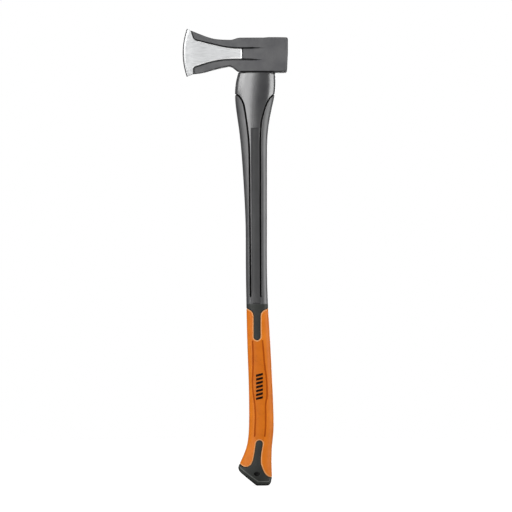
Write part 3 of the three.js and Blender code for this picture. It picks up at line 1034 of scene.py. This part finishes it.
def head_height(spots, rim, bare):
    """Half thickness of the head at points of the side view."""
    x = spots[:, 0]
    from_web = within_web(spots)
    cheek, low = cheek_plan(x), np.minimum(web_plan(x), cheek_plan(x))
    half = cheek + (low - cheek) * ramp(from_web, -WEB_WALL, WEB_WALL)
    in_bare = inside(spots, [bare])
    from_bare = distance_to(spots, bare, True)
    neck = ramp(x, -150, -110)
    half -= np.where(in_bare, BARE_DEPTH * neck * ramp(from_bare, 0, BARE_ROUND), 0)
    step = dip(np.abs(np.where(in_bare, 9, from_bare) - 0.9), 0.9)
    half -= 0.7 * step * ramp(x, BARE_END - 5, BARE_END - 1)
    bevel = 0.12 + EDGE_RISE * (EDGE_RADIUS - np.linalg.norm(spots - EDGE_CENTRE, axis=1))
    half = np.minimum(half, bevel)
    radius = np.minimum(round_plan(x), half * 0.6)
    return half - drop(distance_to(spots, rim), radius)


def forged_head(looks):
    """One forging: bit, flanges, neck, eye and poll, painted except over the web."""
    rim, top, foot = head_lines()
    cutting = edge_arc(0, top, foot)
    loop = join(rim, cutting[1:-1])
    bare = bare_outline()
    rails = rails_of(rim, -1, (0.15, 0.4, 0.8, 1.3, 1.9, 2.6))
    rails += [edge_arc(inset, top, foot) for inset in (0.7, DARK_LINE_WIDTH, 3, 4.6, 5.5, 6.2, 7)]
    for line in (WEB_TOP, WEB_FOOT):
        rails += rails_of(resample(line, 1.0), WEB_WALL, (-1, -0.5, 0, 0.5, 1))
    inner_bare = rails_of(bare, 1, (0, -0.6, -1.4, -2.6, 0.5, 1.0, 1.8), True)
    net = Net([loop], rails, HEAD_STEP, inner_bare)
    half = head_height(net.spots, rim, bare)
    points = np.column_stack([net.spots[:, 0], half, net.spots[:, 1]])
    middles = net.middles()
    steel = inside(middles, [bare])
    from_edge = EDGE_RADIUS - np.linalg.norm(middles - EDGE_CENTRE, axis=1)
    # Painted highlight: a lighter steel rim just inside the paint's edge, wider towards the neck
    rim_width = 0.9 + 2.0 * ramp(middles[:, 0], -90, NECK - 4)
    from_bare = distance_to(middles, bare, True)
    highlight_rim = steel & (from_bare < rim_width) & (middles[:, 0] > HIGHLIGHT_START)
    slots = np.where(highlight_rim, STEEL_HIGHLIGHT, np.where(steel, STEEL, PAINT))
    # Painted shade: near-black paint on the flanges' inner walls, wider on the lower wall, and
    # beside the bare steel's end
    lower = np.where(middles[:, 1] < WEB_MIDDLE, 1.5, 1.0)
    shadow = WEB_WALL * lower * ramp(-middles[:, 0], -4, 26)
    shade_mask = np.abs(within_web(middles)) < shadow
    shade_mask |= (from_bare < 2.4) & (middles[:, 0] > BARE_END - 1)
    from_rim = distance_to(middles, rim)
    # Painted shade: darker paint in a narrow band along the head's outline
    slots[~steel & (from_rim < 1.1)] = OUTLINE_SHADE
    # Painted shade also along the head's underside just above the collar
    over_collar = (middles[:, 0] > NECK) & (middles[:, 0] < 22) & (middles[:, 1] < HEAD_FOOT + 6)
    shade_mask |= over_collar & (from_rim < 2)
    slots[~steel & shade_mask] = PAINT_SHADE
    # The edge bevel: a finer grind, and a lighter steel tone as a painted highlight
    slots[from_edge < BEVEL_WIDTH] = BEVEL_GRIND_AND_HIGHLIGHT
    # Painted shade: a near-black line along the cutting edge
    slots[from_edge < DARK_LINE_WIDTH] = EDGE_DARK_LINE
    no_seam = np.zeros(len(points), bool)
    head = two_sided("forged_head", looks, net, points, slots, no_seam, 14)
    rings = [oval_ring(z, *eye_size(z)) for z in np.linspace(HEAD_FOOT - 4, POLL_TOP + 4, 12)]
    apply_boolean(head, column("eye", rings), "DIFFERENCE")
    return head


# ---- Materials ----


def screen(red, green, blue):
    """A colour as a screen shows it, in the shader's linear values."""
    return tuple((value / 255) ** 2.2 for value in (red, green, blue)) + (1.0,)


class Look:
    """A node material, with short ways to add nodes to it. Sizes are in millimetres."""

    def __init__(self, name, sockets):
        self.material = bpy.data.materials.new(name)
        self.material.use_nodes = True
        self.nodes = self.material.node_tree.nodes
        self.shader = self.nodes["Principled BSDF"]
        self.place = self.nodes.new("ShaderNodeTexCoord").outputs["Object"]
        self.fill(self.shader, sockets)

    def fill(self, node, sockets):
        for name, value in sockets.items():
            self.put(node.inputs[name], value)

    def put(self, socket, value):
        """Links a node's output to the socket, or sets the socket to a plain value."""
        if isinstance(value, bpy.types.NodeSocket):
            self.material.node_tree.links.new(value, socket)
        else:
            socket.default_value = value

    def node(self, kind, sockets, **settings):
        node = self.nodes.new("ShaderNode" + kind)
        for name, value in settings.items():
            setattr(node, name, value)
        self.fill(node, sockets)
        return node

    def noise(self, size, detail=3.0, drawn_out=(1.0, 1.0, 1.0)):
        """Soft noise whose features are about size across, longer where drawn out."""
        scale = [1 / (size * MM * stretch) for stretch in drawn_out]
        place = self.node("Mapping", {"Vector": self.place, "Scale": scale}).outputs[0]
        return self.node("TexNoise", {"Vector": place, "Scale": 1.0, "Detail": detail}).outputs[0]

    def cells(self, size):
        """Distance from the middle of the nearest of many small cells."""
        sockets = {"Vector": self.place, "Scale": 1 / (size * MM)}
        return self.node("TexVoronoi", sockets).outputs["Distance"]

    def edges(self, low, high):
        """1 on the outer edges of the shape and 0 elsewhere."""
        shape = self.node("NewGeometry", {}).outputs["Pointiness"]
        return self.spread(shape, low, high)

    def spread(self, value, low, high, to_low=0.0, to_high=1.0):
        """value from low to high, brought to another range and held inside it."""
        sockets = {"Value": value, "From Min": low, "From Max": high}
        sockets.update({"To Min": to_low, "To Max": to_high})
        return self.node("MapRange", sockets).outputs[0]

    def times(self, first, second):
        return self.node("Math", {0: first, 1: second}, operation="MULTIPLY").outputs[0]

    def mix(self, share, first, second):
        """One colour turning into another as share goes from 0 to 1."""
        node = self.nodes.new("ShaderNodeMix")
        node.data_type = "RGBA"
        colours = [socket for socket in node.inputs if socket.type == "RGBA"]
        for socket, value in zip([node.inputs[0], *colours], (share, first, second)):
            self.put(socket, value)
        return next(socket for socket in node.outputs if socket.type == "RGBA")

    def finish(self, tone, roughness, *layers):
        """Colour, roughness and relief, the last from pairs of a height and its depth."""
        normal = None
        for height, depth in layers:
            sockets = {"Height": height, "Distance": depth * MM}
            if normal:
                sockets["Normal"] = normal
            normal = self.node("Bump", sockets).outputs[0]
        sockets = {"Base Color": tone, "Roughness": roughness, "Normal": normal}
        self.fill(self.shader, sockets)
        return self.material


def paint_look(name, dark, light):
    """Matt dark grey coating with a fine orange peel over a forged surface."""
    look = Look(name, {"Specular IOR Level": 0.4})
    tone = look.mix(look.spread(look.noise(30), 0.35, 0.65), dark, light)
    grit = look.spread(look.noise(2.2, 5), 0.45, 0.62)
    worn = look.times(look.edges(0.53, 0.6), grit)
    tone = look.mix(worn, tone, screen(150, 150, 150))
    roughness = look.spread(look.noise(6), 0.3, 0.7, 0.5, 0.66)
    return look.finish(tone, roughness, (look.noise(14), 0.35), (look.noise(0.9, 2), 0.09))


def steel_look(name, dark, light, rough, metal=0.35):
    """Ground steel with fine lines along the blade."""
    look = Look(name, {"Metallic": metal, "Specular IOR Level": metal + 0.25})
    lines = look.noise(0.55, 4, (42.0, 3.0, 1.0))
    broad = look.noise(5, 3, (9.0, 3.0, 1.0))
    tone = look.mix(look.spread(lines, 0.3, 0.7), dark, light)
    shade = look.spread(broad, 0.35, 0.7, 0.0, 0.35)
    tone = look.mix(shade, tone, screen(186, 187, 188))
    roughness = look.spread(lines, 0.3, 0.7, rough + 0.1, rough)
    return look.finish(tone, roughness, (lines, 0.05), (broad, 0.12))


def jacket_look(name, dark, light, rough, shine, index=1.5):
    """Glass-filled nylon: dark grey with a fine spark texture, and dust with painted shade in its
    hollows.
    """
    look = Look(name, {"Specular IOR Level": shine, "IOR": index})
    tone = look.mix(look.spread(look.noise(45, 4), 0.35, 0.65), dark, light)
    rubbed = look.times(look.edges(0.52, 0.58), look.noise(3, 4))
    tone = look.mix(rubbed, tone, screen(112, 112, 112))
    # Dust and painted shade: near-black in the hollows, found by pointiness
    hollows_dust_and_shade = look.edges(0.49, 0.45)
    tone = look.mix(hollows_dust_and_shade, tone, screen(20, 20, 20))
    roughness = look.spread(look.noise(8, 4), 0.3, 0.7, rough, rough + 0.05)
    return look.finish(tone, roughness, (look.noise(0.5, 2), 0.05), (look.noise(60, 1), 0.12))


def rubber_look(name, dark, light, rough, shine=0.3):
    """Moulded soft rubber with a fine stipple, a little handling grime, and dust with painted
    shade in its hollows.
    """
    look = Look(name, {"Specular IOR Level": shine})
    tone = look.mix(look.spread(look.noise(24, 4), 0.35, 0.65), dark, light)
    grime = look.spread(look.noise(3.5, 5), 0.56, 0.75, 0.0, 0.25)
    grime_and_shade_tone = tuple(value * 0.45 for value in dark[:3]) + (1.0,)
    # Dust and painted shade: the dark tone again in the hollows, found by pointiness
    hollows_dust_and_shade = look.edges(0.49, 0.44)
    tone = look.mix(grime, tone, grime_and_shade_tone)
    tone = look.mix(hollows_dust_and_shade, tone, grime_and_shade_tone)
    roughness = look.spread(look.noise(5), 0.3, 0.7, rough - 0.06, rough + 0.06)
    return look.finish(tone, roughness, (look.cells(0.8), 0.07), (look.noise(9), 0.2))


def resin_look():
    """Cured epoxy: dark, glossy and slightly cloudy."""
    look = Look("epoxy", {"Coat Weight": 0.4, "Coat Roughness": 0.08})
    cloud = look.spread(look.noise(6, 4), 0.35, 0.7)
    tone = look.mix(cloud, screen(34, 31, 27), screen(58, 52, 42))
    roughness = look.spread(cloud, 0, 1, 0.2, 0.4)
    return look.finish(tone, roughness, (look.noise(4, 2), 0.3))


def glass_fibre_look():
    """Pultruded rod: straw-coloured resin over long straight glass strands."""
    look = Look("pultruded_glass", {"Specular IOR Level": 0.5})
    strands = look.noise(0.5, 3, (1.0, 1.0, 90.0))
    tone = look.mix(strands, screen(190, 178, 120), screen(226, 220, 186))
    roughness = look.spread(strands, 0.3, 0.7, 0.3, 0.5)
    return look.finish(tone, roughness, (strands, 0.06))


def floor_look():
    """Pale studio floor that fades out with distance."""
    look = Look("pale_floor", {"Roughness": 0.9, "Specular IOR Level": 0.1})
    seen = look.node("LightPath", {}).outputs["Is Camera Ray"]
    glow = look.spread(seen, 0, 1, 0.0, 0.8)
    look.fill(look.shader, {"Emission Color": (1, 1, 1, 1), "Emission Strength": glow})
    speckle = look.noise(40, 3)
    tone = look.mix(speckle, screen(158, 158, 158), screen(168, 168, 168))
    distance = look.node("VectorMath", {0: look.place}, operation="LENGTH").outputs["Value"]
    alpha = look.spread(distance, 0.25, 1.6, 1.0, 0.0)
    look.fill(look.shader, {"Base Color": tone, "Alpha": alpha})
    return look.material


# ---- The scene ----

MIDDLE = (0, 0, 0.45)  # metres, as all sizes of the studio
FLOOR_RADIUS, FLOOR_SIDES, FLOOR_GAP = 3, 64, 0.0005
AMBIENT = 0.1  # strength of the world for all but the camera


def set_piece(piece, node):
    """Gives a piece its CAD body and hides the CAD node that it stands for."""
    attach(piece, "root")
    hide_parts(node)


# Each material's maker, its darker and lighter colours on a screen, and its finish
LOOKS = {
    "matt_paint": (paint_look, (90, 90, 92), (102, 102, 103)),
    # painted shade: near-black paint where the head's walls and underside are in shadow
    "pooled_paint": (paint_look, (22, 22, 23), (32, 32, 33)),
    # painted shade: darker paint for the outline of the head
    "edge_paint": (paint_look, (56, 56, 57), (66, 66, 67)),
    "ground_steel": (steel_look, (167, 168, 169), (208, 209, 210), 0.36),
    # painted highlight: a lighter copy of the ground steel for the bare steel's rim
    "bright_steel": (steel_look, (226, 226, 226), (246, 246, 246), 0.3),
    # finer ground bevel, lighter than the bare steel as a painted highlight
    "bevel_steel": (steel_look, (182, 183, 184), (222, 223, 224), 0.3),
    # painted shade: near-black, non-metallic steel for the dark line along the cutting edge
    "honed_edge": (steel_look, (20, 20, 21), (36, 36, 37), 0.6, 0.0),
    "orange_rubber": (rubber_look, (209, 107, 14), (220, 116, 18), 0.46, 0.2),
    # painted light: a lighter copy of the orange for the sleeve's sides
    "orange_side": (rubber_look, (221, 117, 27), (232, 127, 32), 0.46, 0.25),
    # painted shade: deep orange for the moulded lines
    "orange_line": (rubber_look, (172, 76, 2), (182, 84, 4), 0.6, 0.1),
    # wear and painted highlight: pale orange for the rolled rims
    "orange_rim": (rubber_look, (236, 164, 104), (246, 176, 116), 0.4),
    "black_rubber": (rubber_look, (48, 50, 48), (57, 59, 56), 0.46),
    # painted highlight: lighter rubber for the bead
    "worn_bead": (rubber_look, (86, 88, 86), (100, 102, 99), 0.4),
    # near-black rubber: the grip's real black bars, and painted shade round the knob
    "black_edge": (rubber_look, (12, 10, 8), (18, 15, 12), 0.6, 0.1),
    "jacket_plastic": (jacket_look, (66, 66, 68), (76, 76, 77), 0.22, 1.0, 1.7),
    "jacket_strip": (jacket_look, (62, 62, 64), (72, 72, 73), 0.4, 0.9, 1.6),
    "jacket_panel": (jacket_look, (46, 46, 47), (54, 54, 55), 0.42, 0.7),
    # painted shade: near-black plastic for the grooves and the edge beside the sleeve
    "jacket_groove": (jacket_look, (8, 8, 8), (14, 14, 14), 0.7, 0.1),
}


def make_pieces():
    """Every visible piece, and new materials for the CAD bodies that stay as they are."""
    looks = {
        name: make(name, screen(*dark), screen(*light), *finish)
        for name, (make, dark, light, *finish) in LOOKS.items()
    }

    def picked(names):
        return [looks[name] for name in names.split()]

    set_piece(forged_head(picked(HEAD_LOOKS)), "axe_head")
    set_piece(eye_resin([resin_look()]), "eye_resin")
    set_piece(handle_jacket(picked(JACKET_LOOKS)), "handle_jacket")
    set_piece(grip_sleeve(picked(SLEEVE_LOOKS)), "grip_sleeve")
    set_piece(butt_cap(picked(KNOB_LOOKS)), "butt_cap")
    kept = {"eye_gasket": looks["black_rubber"], "core_rod": glass_fibre_look()}
    for node, look in kept.items():
        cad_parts[node].material_slots[0].material = look


def make_camera():
    """A long lens that looks along +Y at the axe's side, from the middle of its height."""
    data = bpy.data.cameras.new("camera")
    distance, width = 6.0, 1.0097
    data.lens = data.sensor_width * distance / width
    data.clip_end = 100
    camera = in_scene("camera", data)
    camera.location = (-0.0128, -distance, 0.452)
    camera.rotation_euler = (math.pi / 2, 0, 0)
    bpy.context.scene.camera = camera


def make_light(name, place, size, power):
    """A soft square light aimed at the middle of the axe."""
    data = bpy.data.lights.new(name, "AREA")
    data.size, data.energy = size, power
    light = in_scene(name, data)
    light.location = place
    light.visible_camera = False
    run = Vector(MIDDLE) - Vector(place)
    light.rotation_euler = run.to_track_quat("-Z", "Y").to_euler()


def make_studio():
    """Five lights, a pale floor and a white world."""
    make_light("key", (-2.3, -1.2, 1.85), 2.0, 44)
    make_light("front", (-2.6, -5.5, 1.2), 4.6, 195)
    make_light("fill", (3.2, -0.95, 0.9), 2.8, 86)
    make_light("top", (0, 0.3, 2.6), 1.2, 8)
    make_light("back", (0.8, 5.0, 1.4), 3.4, 150)
    disc = bpy.data.meshes.new("floor")
    rim = [(x, y, 0) for x, y in arc((0, 0), FLOOR_RADIUS, 0, 360, FLOOR_SIDES)[:-1]]
    disc.from_pydata(rim, [], [tuple(range(FLOOR_SIDES))])
    floor = in_scene("floor", disc)
    floor.location.z = -FLOOR_GAP
    disc.materials.append(floor_look())
    world = bpy.data.worlds.new("studio")
    world.use_nodes = True
    background = world.node_tree.nodes["Background"]
    background.inputs["Color"].default_value = (1, 1, 1, 1)
    rays = world.node_tree.nodes.new("ShaderNodeLightPath")
    strength = world.node_tree.nodes.new("ShaderNodeMapRange")
    strength.inputs["To Min"].default_value = AMBIENT
    world.node_tree.links.new(rays.outputs["Is Camera Ray"], strength.inputs["Value"])
    world.node_tree.links.new(strength.outputs[0], background.inputs["Strength"])
    bpy.context.scene.world = world
    bpy.context.scene.view_settings.view_transform = "Standard"


make_camera()
make_studio()
make_pieces()
